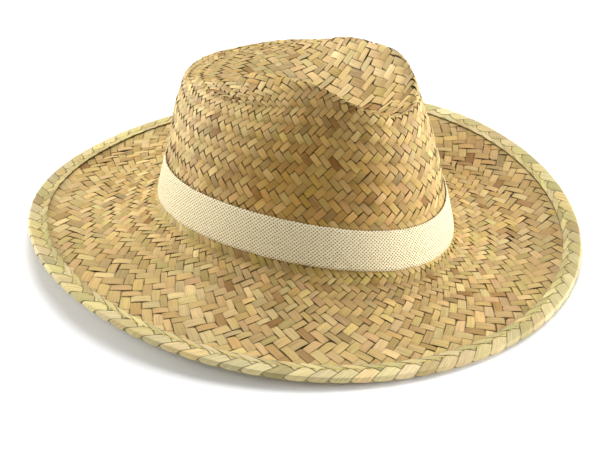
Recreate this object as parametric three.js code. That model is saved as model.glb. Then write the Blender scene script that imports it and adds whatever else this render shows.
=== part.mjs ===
// Straw cowboy hat with a pinched crown, standing on its brim. Millimetres, +Z up.
// The front of the hat looks toward -Y, the wearer's left is +X, and the brim rests on z = 0.
import * as THREE from 'three';

// Angles run round the hat from the front (0) past the wearer's left (90) to the back (180).
const SECTIONS = 64;
const DEGREE = Math.PI / 180;

// Brim outline, measured to the outside of the braid on its edge
const BRIM_HALF_LENGTH = 180;
const BRIM_HALF_WIDTH = 173;
const SIDE_RISE = 14;
const SIDE_RISE_BACKWARD = 7.5;
const FLAT_ARC = 2.9 * DEGREE;

// The brim dips below the straight way from the crown to its edge, most at the sides
const BRIM_DIP = 2.5;
const BRIM_DIP_SIDES = 3.5;

// Woven wall: one straw fabric from the brim edge to the middle of the crown
const WALL = 1.8;

// Foot of the crown, where the wall turns out of the brim
const FOOT_HALF_LENGTH = 101.8;
const FOOT_HALF_WIDTH = 87.5;
const FOOT_LEAN = 13 * DEGREE;
const FOOT_LEVEL = 18.8;
const FOOT_TILT = { backward: 2.0, rightward: 4.1, sides: 3.1, twist: 4.7 };

// Ribbon round the foot of the crown, wound on the leaning wall just above the brim
const BAND_WIDTH = 25.4;
const BAND_THICKNESS = 0.9;
const BAND_LIFT = 3.5;
const BAND_GAP = 0.4;

// Straw braid folded over the brim edge: its two legs grip the brim from above and below
const BINDING_UPPER_LEG = 10.5;
const BINDING_LOWER_LEG = 11;
const BINDING_THICKNESS = 1.1;
const BINDING_GAP = 0.35;
const BINDING_REST_WIDTH = 3;

// Crest of the crown from front to back, one row every 30 degrees, the same on both sides.
// half_width, fore_aft and height place the crest; belly_low and belly_high swell the wall
// below it (a pinched wall sinks in instead); softness widens the rounding of the crest.
const CREST = [
  { half_width: 0.0, fore_aft: -79.0, height: 110.8, belly_low: 3.0, belly_high: 2.5, softness: 0.8 },
  { half_width: 20.5, fore_aft: -72.5, height: 118.8, belly_low: 3.0, belly_high: 1.0, softness: 0.75 },
  { half_width: 34.5, fore_aft: -45.5, height: 130.2, belly_low: 0.5, belly_high: 0.0, softness: 0.85 },
  { half_width: 38.5, fore_aft: -1.0, height: 124.2, belly_low: 4.5, belly_high: 5.0, softness: 0.8 },
  { half_width: 45.5, fore_aft: 33.0, height: 110.4, belly_low: 3.0, belly_high: 3.5, softness: 1.3 },
  { half_width: 36.5, fore_aft: 71.0, height: 99.0, belly_low: 2.0, belly_high: 1.5, softness: 1.45 },
  { half_width: 0.0, fore_aft: 93.0, height: 92.5, belly_low: 2.0, belly_high: 3.0, softness: 1.45 },
];

// Crease in the top of the crown: a long dish whose middle lies below the crest, filled out
// to a low dome toward the back
const CREASE_HEIGHT = 94;
const CREASE_FORE_AFT = -2;
const CREASE_STEEPNESS = 2.3;
const BACK_FILL = 8;

// Stations of the control polygon: along the brim as a share of its width, up the foot in
// millimetres, up the wall above the band and in over the top as shares of the way
const BRIM_STATIONS = [1, 0.62, 0.25, 0.05];
const FOOT_STATIONS = [0, 4, 16, 28, 33];
const WALL_STATIONS = [0.25, 0.53];
const SHOULDER_STATION = 0.235;
const CREST_STATION = 0.12;
const DISH_STATION = 0.16;
const TOP_STATIONS = [0.42, 0.7, 1];

// The two belly curves, share * (1 - share)^2 and its mirror, peak at 4/27 of their factor
const BELLY_FACTOR = 27 / 4;

// Points taken along each span between two control points, finer where the shape turns
const SPAN_STEPS = [3, 3, 2, 2, 2, 1, 1, 1, 1, 2, 2, 2, 2, 2, 2, 1, 1];

const STRAW = new THREE.MeshStandardMaterial({ color: 0xc9a765, roughness: 0.75, metalness: 0 });
const RIBBON = new THREE.MeshStandardMaterial({ color: 0xe6dcc3, roughness: 0.85, metalness: 0 });
const BRAID = new THREE.MeshStandardMaterial({ color: 0xc6b378, roughness: 0.75, metalness: 0 });

// Height of the brim edge: it stands on a short arc at front and back and curls up at the sides
function edgeRise(angle) {
  const sideways = Math.max(Math.abs(Math.sin(angle)) - Math.sin(FLAT_ARC), 0);
  return sideways ** 2 * (SIDE_RISE - SIDE_RISE_BACKWARD * Math.cos(angle));
}

// Depth of the dip at a share of the way from the foot of the crown to the brim edge
function brimDip(angle, share) {
  return 4 * share * (1 - share) * (BRIM_DIP + BRIM_DIP_SIDES * Math.sin(angle) ** 2);
}

function footHeight(angle) {
  return FOOT_LEVEL
    - FOOT_TILT.backward * Math.cos(angle) - FOOT_TILT.rightward * Math.sin(angle)
    - FOOT_TILT.sides * Math.cos(2 * angle) - FOOT_TILT.twist * Math.sin(2 * angle);
}

function ovalPoint(halfWidth, halfLength, angle, height) {
  return new THREE.Vector3(halfWidth * Math.sin(angle), -halfLength * Math.cos(angle), height);
}

// Point on the straight leaning foot of the wall, a distance up from the corner with the brim
function footPoint(angle, distance, outward = 0) {
  const inset = distance * Math.sin(FOOT_LEAN) - outward * Math.cos(FOOT_LEAN);
  const height = footHeight(angle) + distance * Math.cos(FOOT_LEAN) + outward * Math.sin(FOOT_LEAN);
  return ovalPoint(FOOT_HALF_WIDTH - inset, FOOT_HALF_LENGTH - inset, angle, height);
}

// Upper face of the brim edge, inside the fold of the braid
const EDGE_INSET = BINDING_THICKNESS + BINDING_GAP;
function brimEdge(angle) {
  const height = edgeRise(angle) + BINDING_THICKNESS + BINDING_GAP + WALL;
  return ovalPoint(BRIM_HALF_WIDTH - EDGE_INSET, BRIM_HALF_LENGTH - EDGE_INSET, angle, height);
}

// Row of the crest table at any angle: a smooth curve through the rows, mirrored at the ends
function crestRow(angle) {
  const last = CREST.length - 1;
  const turn = ((angle % (2 * Math.PI)) + 2 * Math.PI) % (2 * Math.PI);
  const rightSide = turn > Math.PI;
  const place = (rightSide ? 2 * Math.PI - turn : turn) / Math.PI * last;
  const index = Math.min(Math.floor(place), last - 1);
  const t = place - index;
  const value = (step, column) => {
    const raw = index + step;
    const mirrored = raw < 0 ? -raw : raw > last ? 2 * last - raw : raw;
    const sign = mirrored !== raw && column === 'half_width' ? -1 : 1;
    return sign * CREST[mirrored][column];
  };
  const row = {};
  for (const column of Object.keys(CREST[0])) {
    const [a, b, c, d] = [-1, 0, 1, 2].map((step) => value(step, column));
    row[column] = b + 0.5 * t * (c - a + t * (2 * a - 5 * b + 4 * c - d + t * (3 * b - a - 3 * c + d)));
  }
  if (rightSide) row.half_width = -row.half_width;
  return row;
}

// Control polygon of the woven wall at one angle, from the brim edge to the middle of the top
function controlPolygon(angle) {
  const row = crestRow(angle);
  const crest = new THREE.Vector3(row.half_width, row.fore_aft, row.height);
  const foot = footPoint(angle, 0);
  const edge = brimEdge(angle);
  const polygon = BRIM_STATIONS.map((share) => {
    const point = foot.clone().lerp(edge, share);
    return point.setZ(point.z - brimDip(angle, share));
  });
  for (const distance of FOOT_STATIONS) polygon.push(footPoint(angle, distance));

  const wallStart = polygon[polygon.length - 1];
  const outward = ovalPoint(FOOT_HALF_LENGTH, FOOT_HALF_WIDTH, angle, 0).normalize();
  const shoulder = 1 - SHOULDER_STATION * row.softness;
  const nearCrest = 1 - CREST_STATION * row.softness;
  for (const share of [...WALL_STATIONS, shoulder, nearCrest, 1]) {
    const low = BELLY_FACTOR * share * (1 - share) ** 2 * row.belly_low;
    const high = BELLY_FACTOR * share ** 2 * (1 - share) * row.belly_high;
    polygon.push(wallStart.clone().lerp(crest, share).addScaledVector(outward, low + high));
  }
  for (const share of [DISH_STATION * row.softness, ...TOP_STATIONS]) {
    const left = 1 - share;
    const fill = 4 * share * left * BACK_FILL * (0.5 - 0.5 * Math.cos(angle)) ** 2;
    const height = CREASE_HEIGHT + (row.height - CREASE_HEIGHT) * left ** CREASE_STEEPNESS + fill;
    const foreAft = CREASE_FORE_AFT + (row.fore_aft - CREASE_FORE_AFT) * left;
    polygon.push(new THREE.Vector3(row.half_width * left, foreAft, height));
  }
  return polygon;
}

// Point on the uniform cubic B-spline of a control polygon, straight at its two ends
function splinePoint(polygon, place) {
  const last = polygon.length - 1;
  const span = Math.min(Math.floor(place), last - 1);
  const t = place - span;
  const weights = [(1 - t) ** 3, 3 * t ** 3 - 6 * t * t + 4, -3 * t ** 3 + 3 * t * t + 3 * t + 1, t ** 3];
  const point = new THREE.Vector3();
  weights.forEach((weight, k) => {
    const index = span + k - 1;
    let control = polygon[Math.min(Math.max(index, 0), last)];
    if (index < 0) control = polygon[0].clone().multiplyScalar(2).sub(polygon[1]);
    if (index > last) control = polygon[last].clone().multiplyScalar(2).sub(polygon[last - 1]);
    point.addScaledVector(control, weight / 6);
  });
  return point;
}

// Angle of each section, set half a step off the front so that a facet lies flat there
const ANGLES = Array.from({ length: SECTIONS }, (_, i) => (i + 0.5) * 2 * Math.PI / SECTIONS);

// Places along the control polygon where the wall has a ring of points
const PLACES = [0];
SPAN_STEPS.forEach((steps, span) => {
  for (let k = 1; k <= steps; k += 1) PLACES.push(span + k / steps);
});
const TOP_PLACE = PLACES.pop();

const wallPoint = (angle, place) => splinePoint(controlPolygon(angle), place);

// Outward normal of the wall from small steps round it and along it
function wallNormal(angle, place) {
  const step = 1e-3;
  const around = wallPoint(angle + step, place).sub(wallPoint(angle - step, place));
  const from = Math.max(place - step, 0);
  const along = wallPoint(angle, Math.min(place + step, TOP_PLACE)).sub(wallPoint(angle, from));
  return around.cross(along).normalize();
}

function geometryFrom(points, triangles) {
  const geometry = new THREE.BufferGeometry();
  const positions = points.flatMap((point) => [point.x, point.y, point.z]);
  geometry.setAttribute('position', new THREE.Float32BufferAttribute(positions, 3));
  geometry.setIndex(triangles);
  geometry.computeVertexNormals();
  return geometry;
}

// Triangles between two rings of points that start at the given indices
function stripTriangles(lower, upper) {
  const triangles = [];
  for (let i = 0; i < SECTIONS; i += 1) {
    const next = (i + 1) % SECTIONS;
    triangles.push(lower + i, lower + next, upper + i);
    triangles.push(lower + next, upper + next, upper + i);
  }
  return triangles;
}

// Closed ring swept round the hat: each section is one closed loop of points, listed
// anticlockwise as seen with the outside of the hat on the right
function sweptRing(sectionAt) {
  const sections = ANGLES.map(sectionAt);
  const sides = sections[0].length;
  const points = [];
  const triangles = [];
  for (let k = 0; k < sides; k += 1) {
    sections.forEach((section) => points.push(section[k]));
    triangles.push(...stripTriangles(k * SECTIONS, ((k + 1) % sides) * SECTIONS));
  }
  return geometryFrom(points, triangles);
}

// Crown and brim: an outer and an inner skin, joined at the brim edge
function wovenBodyGeometry() {
  const points = [];
  const triangles = [];
  for (const place of PLACES) {
    for (const angle of ANGLES) points.push(wallPoint(angle, place));
  }
  for (const place of PLACES) {
    for (const angle of ANGLES) {
      points.push(wallPoint(angle, place).addScaledVector(wallNormal(angle, place), -WALL));
    }
  }
  const rings = PLACES.length;
  const inner = rings * SECTIONS;
  for (let ring = 0; ring < rings - 1; ring += 1) {
    triangles.push(...stripTriangles(ring * SECTIONS, (ring + 1) * SECTIONS));
    triangles.push(...stripTriangles(inner + (ring + 1) * SECTIONS, inner + ring * SECTIONS));
  }
  triangles.push(...stripTriangles(inner, 0));

  const outerMiddle = points.length;
  points.push(wallPoint(0, TOP_PLACE));
  const innerMiddle = points.length;
  points.push(wallPoint(0, TOP_PLACE).add(new THREE.Vector3(0, 0, -WALL)));
  const lastRing = (rings - 1) * SECTIONS;
  for (let i = 0; i < SECTIONS; i += 1) {
    const next = (i + 1) % SECTIONS;
    triangles.push(lastRing + i, lastRing + next, outerMiddle);
    triangles.push(inner + lastRing + next, inner + lastRing + i, innerMiddle);
  }
  return geometryFrom(points, triangles);
}

// Ribbon: a flat strip on the leaning foot of the wall
function hatBandGeometry() {
  const inside = BAND_GAP;
  const outside = BAND_GAP + BAND_THICKNESS;
  const middle = BAND_LIFT + BAND_WIDTH / 2;
  const top = BAND_LIFT + BAND_WIDTH;
  return sweptRing((angle) => [
    footPoint(angle, BAND_LIFT, inside),
    footPoint(angle, BAND_LIFT, outside),
    footPoint(angle, middle, outside),
    footPoint(angle, top, outside),
    footPoint(angle, top, inside),
    footPoint(angle, middle, inside),
  ]);
}

// Braid on the brim edge: a folded strip, open toward the crown, with a narrow flat foot
function edgeBindingGeometry() {
  return sweptRing((angle) => {
    const polygon = controlPolygon(angle);
    const edge = polygon[0];
    const outward = edge.clone().sub(polygon[1]);
    const firstSpan = outward.length();
    outward.normalize();
    const side = ovalPoint(FOOT_HALF_LENGTH, FOOT_HALF_WIDTH, angle, 0).normalize();

    // Point a distance in from the brim edge (out from it if negative) and above the brim
    const at = (along, above) => {
      const place = Math.max(along, 0) / firstSpan;
      return splinePoint(polygon, place)
        .addScaledVector(outward, Math.max(-along, 0))
        .addScaledVector(wallNormal(angle, place), above);
    };

    const upperInside = BINDING_GAP;
    const upperOutside = BINDING_GAP + BINDING_THICKNESS;
    const lowerInside = -WALL - BINDING_GAP;
    const lowerOutside = lowerInside - BINDING_THICKNESS;
    const rim = ovalPoint(BRIM_HALF_WIDTH, BRIM_HALF_LENGTH, angle, edge.z - WALL / 2);
    const restOuter = rim.clone().addScaledVector(side, -BINDING_THICKNESS).setZ(edgeRise(angle));
    const restInner = restOuter.clone().addScaledVector(side, -BINDING_REST_WIDTH);
    return [
      restInner,
      restOuter,
      rim,
      at(0, upperOutside),
      at(BINDING_UPPER_LEG, upperOutside),
      at(BINDING_UPPER_LEG, upperInside),
      at(-BINDING_GAP, upperInside),
      at(-BINDING_GAP, lowerInside),
      at(BINDING_LOWER_LEG, lowerInside),
      at(BINDING_LOWER_LEG, lowerOutside),
    ];
  });
}

function piece(name, geometry, material) {
  const mesh = new THREE.Mesh(geometry, material);
  mesh.name = name;
  return mesh;
}

const hat = new THREE.Group();
hat.add(piece('woven_body', wovenBodyGeometry(), STRAW));
hat.add(piece('hat_band', hatBandGeometry(), RIBBON));
hat.add(piece('edge_binding', edgeBindingGeometry(), BRAID));

export default hat;
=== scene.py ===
"""Straw hat with a pinched crown, a cream ribbon and a plaited edge, standing on its brim."""
import math

import bpy
import numpy as np
from mathutils import Matrix


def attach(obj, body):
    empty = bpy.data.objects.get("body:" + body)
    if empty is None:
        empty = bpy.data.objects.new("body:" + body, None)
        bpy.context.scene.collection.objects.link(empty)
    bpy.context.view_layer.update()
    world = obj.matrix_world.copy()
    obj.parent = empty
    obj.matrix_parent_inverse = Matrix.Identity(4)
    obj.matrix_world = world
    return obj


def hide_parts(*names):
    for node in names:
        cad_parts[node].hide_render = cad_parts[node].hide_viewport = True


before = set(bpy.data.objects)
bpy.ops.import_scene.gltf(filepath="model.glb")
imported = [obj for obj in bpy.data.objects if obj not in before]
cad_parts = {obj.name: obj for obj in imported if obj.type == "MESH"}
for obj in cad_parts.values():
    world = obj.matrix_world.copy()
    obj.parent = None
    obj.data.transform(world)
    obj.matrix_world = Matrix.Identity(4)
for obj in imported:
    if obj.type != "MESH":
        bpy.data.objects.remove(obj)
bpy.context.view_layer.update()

# Woven body: crown and brim, plaited as one fabric from flat straw strips in two sets that
# cross over two and under two, then pressed on a block into the pinched crown and curled brim.
DEGREE = math.pi / 180
BRIM_HALF_LENGTH = 0.180
BRIM_HALF_WIDTH = 0.173
SIDE_RISE = 0.014
SIDE_RISE_BACKWARD = 0.0075
FLAT_ARC = 2.9 * DEGREE
BRIM_DIP = 0.0025
BRIM_DIP_SIDES = 0.0035
WALL = 0.0018
EDGE_INSET = 0.00145
EDGE_HEIGHT = 0.00325
FOOT_HALF_LENGTH = 0.1018
FOOT_HALF_WIDTH = 0.0875
FOOT_LEAN = 13 * DEGREE
FOOT_LEVEL = 0.0188
FOOT_TILT = {"backward": 0.0020, "rightward": 0.0041, "sides": 0.0031, "twist": 0.0047}

# Crest of the crown every 30 degrees from front to back: half_width, fore_aft, height,
# belly_low, belly_high, softness
CREST = np.array([
    (0.0000, -0.0790, 0.1108, 0.0030, 0.0025, 0.80),
    (0.0205, -0.0725, 0.1188, 0.0030, 0.0010, 0.75),
    (0.0345, -0.0455, 0.1302, 0.0005, 0.0000, 0.85),
    (0.0385, -0.0010, 0.1242, 0.0045, 0.0050, 0.80),
    (0.0455, 0.0330, 0.1104, 0.0030, 0.0035, 1.30),
    (0.0365, 0.0710, 0.0990, 0.0020, 0.0015, 1.45),
    (0.0000, 0.0930, 0.0925, 0.0020, 0.0030, 1.45),
])
CREASE_HEIGHT = 0.094
CREASE_FORE_AFT = -0.002
CREASE_STEEPNESS = 2.3
BACK_FILL = 0.008
BRIM_STATIONS = (1, 0.62, 0.25, 0.05)
FOOT_STATIONS = (0, 0.004, 0.016, 0.028, 0.033)
WALL_STATIONS = (0.25, 0.53)
SHOULDER_STATION = 0.235
CREST_STATION = 0.12
DISH_STATION = 0.16
TOP_STATIONS = (0.42, 0.7, 1)
BELLY_FACTOR = 27 / 4

# Places along the wall, counted in its control points from the brim's edge: the brim's strips
# meet the crown's under the ribbon, and the last place is the middle of the top
SEAM_PLACE = 5.5
TOP_PLACE = 17.0
ROUND_POINTS = 721
ALONG_POINTS = 321
EVENING_ROUNDS = 2


def oval(half_width, half_length, angle, height):
    """Points of an oval round the hat, at angles from the front toward the wearer's left."""
    return np.stack((half_width * np.sin(angle), -half_length * np.cos(angle), height + 0 * angle), axis=-1)


def edge_rise(angle):
    """How far the brim's edge curls up: not at all along a short arc at the front and the back."""
    sideways = np.maximum(np.abs(np.sin(angle)) - math.sin(FLAT_ARC), 0)
    return sideways ** 2 * (SIDE_RISE - SIDE_RISE_BACKWARD * np.cos(angle))


def foot_point(angle, distance, outward=0.0):
    """Point up the leaning foot of the crown, standing out from the wall."""
    level = FOOT_LEVEL - FOOT_TILT["backward"] * np.cos(angle) - FOOT_TILT["rightward"] * np.sin(angle)
    level = level - FOOT_TILT["sides"] * np.cos(2 * angle) - FOOT_TILT["twist"] * np.sin(2 * angle)
    inset = distance * math.sin(FOOT_LEAN) - outward * math.cos(FOOT_LEAN)
    height = level + distance * math.cos(FOOT_LEAN) + outward * math.sin(FOOT_LEAN)
    return oval(FOOT_HALF_WIDTH - inset, FOOT_HALF_LENGTH - inset, angle, height)


def brim_edge(angle):
    """Upper face of the brim at its edge."""
    height = edge_rise(angle) + EDGE_HEIGHT
    return oval(BRIM_HALF_WIDTH - EDGE_INSET, BRIM_HALF_LENGTH - EDGE_INSET, angle, height)


def unit(vectors):
    """The same directions, each with a length of 1."""
    return vectors / np.linalg.norm(vectors, axis=-1, keepdims=True)


def outward_at(angle):
    """Level directions away from the foot of the crown, square to its oval."""
    return unit(oval(FOOT_HALF_LENGTH, FOOT_HALF_WIDTH, angle, 0.0))


def crest_row(angle):
    """Smooth curve through the crest rows, mirrored at front and back, as one array a column."""
    turn = np.mod(angle, 2 * np.pi)
    right_side = turn > np.pi
    place = np.where(right_side, 2 * np.pi - turn, turn) / np.pi * (len(CREST) - 1)
    index = np.minimum(place.astype(int), len(CREST) - 2)
    t = (place - index)[:, None]
    mirror = np.array((-1, 1, 1, 1, 1, 1))
    rows = np.vstack((CREST[1] * mirror, CREST, CREST[-2] * mirror))
    a, b, c, d = (rows[index + k] for k in range(4))
    row = b + 0.5 * t * (c - a + t * (2 * a - 5 * b + 4 * c - d + t * (3 * b - a - 3 * c + d)))
    row[:, 0] *= np.where(right_side, -1, 1)
    return row.T


def wall_polygon(angle):
    """Control points of the wall at each angle, from the brim edge to the middle of the top."""
    half_width, fore_aft, height, belly_low, belly_high, softness = crest_row(angle)
    crest = np.stack((half_width, fore_aft, height), axis=-1)
    foot, edge = foot_point(angle, 0), brim_edge(angle)
    deepest = BRIM_DIP + BRIM_DIP_SIDES * np.sin(angle) ** 2
    polygon = []
    for share in BRIM_STATIONS:
        point = foot + (edge - foot) * share
        point[:, 2] -= 4 * share * (1 - share) * deepest
        polygon.append(point)
    polygon += [foot_point(angle, distance) for distance in FOOT_STATIONS]
    wall_start = polygon[-1]
    shoulder = 1 - SHOULDER_STATION * softness
    near_crest = 1 - CREST_STATION * softness
    for share in (*WALL_STATIONS, shoulder, near_crest, 1):
        low = BELLY_FACTOR * share * (1 - share) ** 2 * belly_low
        high = BELLY_FACTOR * share ** 2 * (1 - share) * belly_high
        step = np.broadcast_to(share, angle.shape)[:, None]
        polygon.append(wall_start + (crest - wall_start) * step + outward_at(angle) * (low + high)[:, None])
    for share in (DISH_STATION * softness, *TOP_STATIONS):
        left = 1 - share
        level = CREASE_HEIGHT + (height - CREASE_HEIGHT) * left ** CREASE_STEEPNESS
        level = level + 4 * share * left * BACK_FILL * (0.5 - 0.5 * np.cos(angle)) ** 2
        place = CREASE_FORE_AFT + (fore_aft - CREASE_FORE_AFT) * left
        polygon.append(np.stack((half_width * left, place, level), axis=-1))
    return np.stack(polygon)


def wall_points(places, angles):
    """Outer face of the wall, one row of points for each place along it."""
    polygon = wall_polygon(angles)
    polygon = np.concatenate((2 * polygon[:1] - polygon[1:2], polygon, 2 * polygon[-1:] - polygon[-2:-1]))
    span = np.minimum(places.astype(int), int(TOP_PLACE) - 1)
    t = (places - span)[:, None, None]
    weights = ((1 - t) ** 3, 3 * t ** 3 - 6 * t ** 2 + 4, -3 * t ** 3 + 3 * t ** 2 + 3 * t + 1, t ** 3)
    return sum(weight * polygon[span + k] for k, weight in enumerate(weights)) / 6


def line_lengths(lines):
    """Length along each line of points, from its start."""
    steps = np.linalg.norm(np.diff(lines, axis=1), axis=-1)
    return np.concatenate((np.zeros((len(lines), 1)), np.cumsum(steps, axis=1)), axis=1)


def lengths_along(cloth):
    """Whole length of each line of a fabric, from its first place to its last."""
    return line_lengths(cloth[:, :, :3].transpose(1, 0, 2))[:, -1]


def evened(lines):
    """The same lines with their points spaced evenly."""
    even = np.array(lines)
    for row, length in enumerate(line_lengths(lines)):
        targets = np.linspace(0, length[-1], len(length))
        for axis in range(3):
            even[row, :, axis] = np.interp(targets, length, lines[row, :, axis])
    return even


def fabric(first_place, last_place):
    """Middle of the woven wall between two places: evenly spaced points and their normals."""
    angles = np.linspace(0, 2 * np.pi, ROUND_POINTS)
    points = wall_points(np.linspace(first_place, last_place, ALONG_POINTS), angles)
    for _ in range(EVENING_ROUNDS):
        points = evened(points)
        points = evened(points.transpose(1, 0, 2)).transpose(1, 0, 2)
    ring = points[:, :-1]
    around = np.roll(ring, -1, axis=1) - np.roll(ring, 1, axis=1)
    normals = np.cross(around, np.gradient(ring, axis=0))
    size = np.linalg.norm(normals, axis=-1, keepdims=True)
    if last_place == TOP_PLACE:
        size[-1] = 1
        normals[-1] = (0, 0, 1)
    normals = normals / size
    normals = np.concatenate((normals, normals[:, :1]), axis=1)
    return np.concatenate((points - normals * WALL / 2, normals), axis=-1)


def on_fabric(cloth, along, turn):
    """Points and normals of the fabric at shares along it and turns round it."""
    row = np.clip(along, 0, 1) * (cloth.shape[0] - 1)
    column = np.mod(turn, 1) * (cloth.shape[1] - 1)
    i = np.minimum(row.astype(int), cloth.shape[0] - 2)
    j = np.minimum(column.astype(int), cloth.shape[1] - 2)
    s, t = (row - i)[..., None], (column - j)[..., None]
    near = cloth[i, j] * (1 - t) + cloth[i, j + 1] * t
    far = cloth[i + 1, j] * (1 - t) + cloth[i + 1, j + 1] * t
    value = near * (1 - s) + far * s
    return value[..., :3], unit(value[..., 3:])


def crossings_along(cloth, strips):
    """How many crossings a strip makes round the hat's girth by each share of the way along."""
    girth = line_lengths(cloth[:, :, :3])[:, -1]
    length = lengths_along(cloth).mean()
    step = length / (len(girth) - 1)
    density = strips / np.maximum(girth, step)
    return np.concatenate(([0], np.cumsum((density[1:] + density[:-1]) / 2 * step)))


# Straw: red, green, blue and share of each colour of strip, from pale gold to olive, pink tan
# and dark gold; now and then a length of a strip is brown
WEAVE_STRAW = np.array([
    (0.555, 0.385, 0.15, 0.40),
    (0.61, 0.455, 0.205, 0.26),
    (0.50, 0.375, 0.135, 0.14),
    (0.56, 0.37, 0.165, 0.11),
    (0.46, 0.30, 0.10, 0.09),
])
BROWN_STRAW = np.array((0.29, 0.145, 0.04))
FOOT_STRAW = np.array((0.53, 0.42, 0.10))

# Patches of painted shade and painted light on the straw: middle, reach and tint; painted shade on
# the pinched right side of the crown and on the left of the brim, painted light in the crease
PAINTED_SHADE_AND_LIGHT_PATCHES = (
    ((-0.052, -0.058, 0.075), 0.060, (0.78, 0.63, 0.36)),
    ((0.129, -0.014, 0.020), 0.050, (0.72, 0.64, 0.54)),
    ((0.024, -0.020, 0.112), 0.048, (1.17, 1.26, 1.42)),
)
PAINTED_PATCH_STRENGTHS = (0.75, 1.15)
BROWN_CHANCE = 0.04
BROWN_LEAST = 0.4
OTHER_STRAW_MOST = 0.45
STRAW_SPREAD = 0.13
HUE_SPREAD = 0.032
COLOUR_LIMITS = (0.02, 0.95)

# Lie of a strip: how far it rises over the strips that it crosses, how it bulges, twists and
# wanders, and how much of its lane it fills; its grain starts anywhere within some metres
LIFT = 0.00044
LIFT_SPREAD = 0.18
FLOAT_BULGE = 0.14
STEPS_PER_CROSSING = 3
STRIP_FLATNESS = 0.085
TWIST = 4 * DEGREE
SWAY = 0.035
SWAY_LENGTHS = (11.0, 4.7)
SNUG_FILL = 1.02
FILL_SPREAD = 0.035
FILL_LIMITS = (0.86, 1.05)
GRAIN_STARTS = 10
DICE_SEED = 20

# What each point of a strip's centre line carries, and where a mesh keeps each kind of value
STRIP_VALUES = {
    "lie": "FLOAT_VECTOR",
    "half_width": "FLOAT",
    "along": "FLOAT",
    "height": "FLOAT",
    "straw_colour": "FLOAT_COLOR",
}
VALUE_FIELDS = {"FLOAT": "value", "FLOAT_VECTOR": "vector", "FLOAT_COLOR": "color"}
dice = np.random.default_rng(DICE_SEED)


def store_values(mesh, name, kind, values):
    """Keeps one named value for each point of a mesh; colours are opaque."""
    if kind == "FLOAT_COLOR":
        values = np.column_stack((values, np.ones(len(values))))
    attribute = mesh.attributes.new(name, kind, "POINT")
    attribute.data.foreach_set(VALUE_FIELDS[kind], values.ravel())


class StripSet:
    """Centre lines of many strips, gathered into one mesh of edges."""

    def __init__(self, name):
        self.name = name
        self.places = []
        self.values = {label: [] for label in STRIP_VALUES}
        self.edges = []
        self.count = 0

    def add(self, points, lie, half_width, height, colours):
        number = np.arange(len(points)) + self.count
        self.edges.append(np.stack((number[:-1], number[1:]), axis=1))
        self.count += len(points)
        self.places.append(points)
        along = line_lengths(points[None])[0] + dice.uniform(0, GRAIN_STARTS)
        for column, values in zip(self.values.values(), (lie, half_width, along, height, colours)):
            column.append(values)

    def mesh(self):
        edges = np.concatenate(self.edges)
        lines = bpy.data.meshes.new(self.name)
        lines.vertices.add(self.count)
        lines.vertices.foreach_set("co", np.concatenate(self.places).ravel())
        lines.edges.add(len(edges))
        lines.edges.foreach_set("vertices", edges.ravel())
        for label, kind in STRIP_VALUES.items():
            store_values(lines, label, kind, np.concatenate(self.values[label]))
        return lines


def twill(slant):
    """Rule of a strip that goes over two and under two: +1 above the crossed strip, -1 below."""

    def over(crossing):
        return np.where(np.mod(crossing, 4) < 2, slant, -slant)

    return over


def weave_lift(place, over):
    """Height of a strip between whole crossings, where over gives +1 above and -1 below."""
    first = np.floor(place)
    part = place - first
    here, there = over(first), over(first + 1)
    flat = (here + there) / 2 * (1 + FLOAT_BULGE * np.sin(np.pi * part))
    return flat + (here - there) / 2 * np.cos(np.pi * part)


def straw_run(place, over, straw, brown_chance):
    """Colour, twist and lift along one strip, changing from one visible length to the next."""
    side = over(np.round(place))
    run = np.concatenate(([0], np.cumsum(side[1:] != side[:-1])))
    runs = run[-1] + 1
    kinds, shares = straw[:, :3], straw[:, 3]
    base = kinds[dice.choice(len(kinds), p=shares)]
    other = kinds[dice.choice(len(kinds), runs, p=shares)]
    mix = dice.uniform(0, OTHER_STRAW_MOST, runs)[:, None]
    colour = (base * (1 - mix) + other * mix) * dice.normal(1, STRAW_SPREAD, runs)[:, None]
    colour[:, 1] *= dice.normal(1, HUE_SPREAD, runs)
    browned = dice.uniform(0, 1, runs) < brown_chance
    brown = (browned * dice.uniform(BROWN_LEAST, 1, runs))[:, None]
    colour = colour * (1 - brown) + BROWN_STRAW * brown
    twist = dice.normal(0, TWIST, runs)
    raised = dice.normal(1, LIFT_SPREAD, runs)
    return np.clip(colour, *COLOUR_LIMITS)[run], twist[run], raised[run]


def add_strip(strips, edges, line, place, over, fill, greener=0.0):
    """One strip between its two edge lines, lifted over and under the strips it crosses."""
    middle, lie = line
    ahead = unit(np.gradient(middle, axis=0))
    width = np.linalg.norm(np.cross(edges[1] - edges[0], ahead), axis=1)
    colours, twist, raised = straw_run(place, over, WEAVE_STRAW, BROWN_CHANCE)
    colours = colours * (1 - greener) + FOOT_STRAW * greener
    # Patches of painted shade and painted light tint the strip's colour
    for spot, reach, tint in PAINTED_SHADE_AND_LIGHT_PATCHES:
        apart = np.linalg.norm(middle - spot, axis=1)
        share = np.exp(-(apart / reach) ** 2) * dice.uniform(*PAINTED_PATCH_STRENGTHS)
        colours = colours * (1 - share[:, None] * (1 - np.array(tint)))
    lean = twist[:, None]
    height = weave_lift(place, over)
    points = middle + lie * (LIFT * raised * height)[:, None]
    turned = lie * np.cos(lean) + np.cross(ahead, lie) * np.sin(lean)
    strips.add(points, turned, width / 2 * fill, height, colours)


def strip_fill():
    """Share of its lane that one strip covers: most fit snugly, a few are thin."""
    return np.clip(dice.normal(SNUG_FILL, FILL_SPREAD), *FILL_LIMITS)


def strip_sway(place):
    """Slow wandering of one strip to either side of its lane, in lanes."""
    starts = dice.uniform(0, 2 * np.pi, len(SWAY_LENGTHS))
    waves = [np.sin(place * 2 * np.pi / length + start) for length, start in zip(SWAY_LENGTHS, starts)]
    return SWAY * sum(waves)


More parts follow.
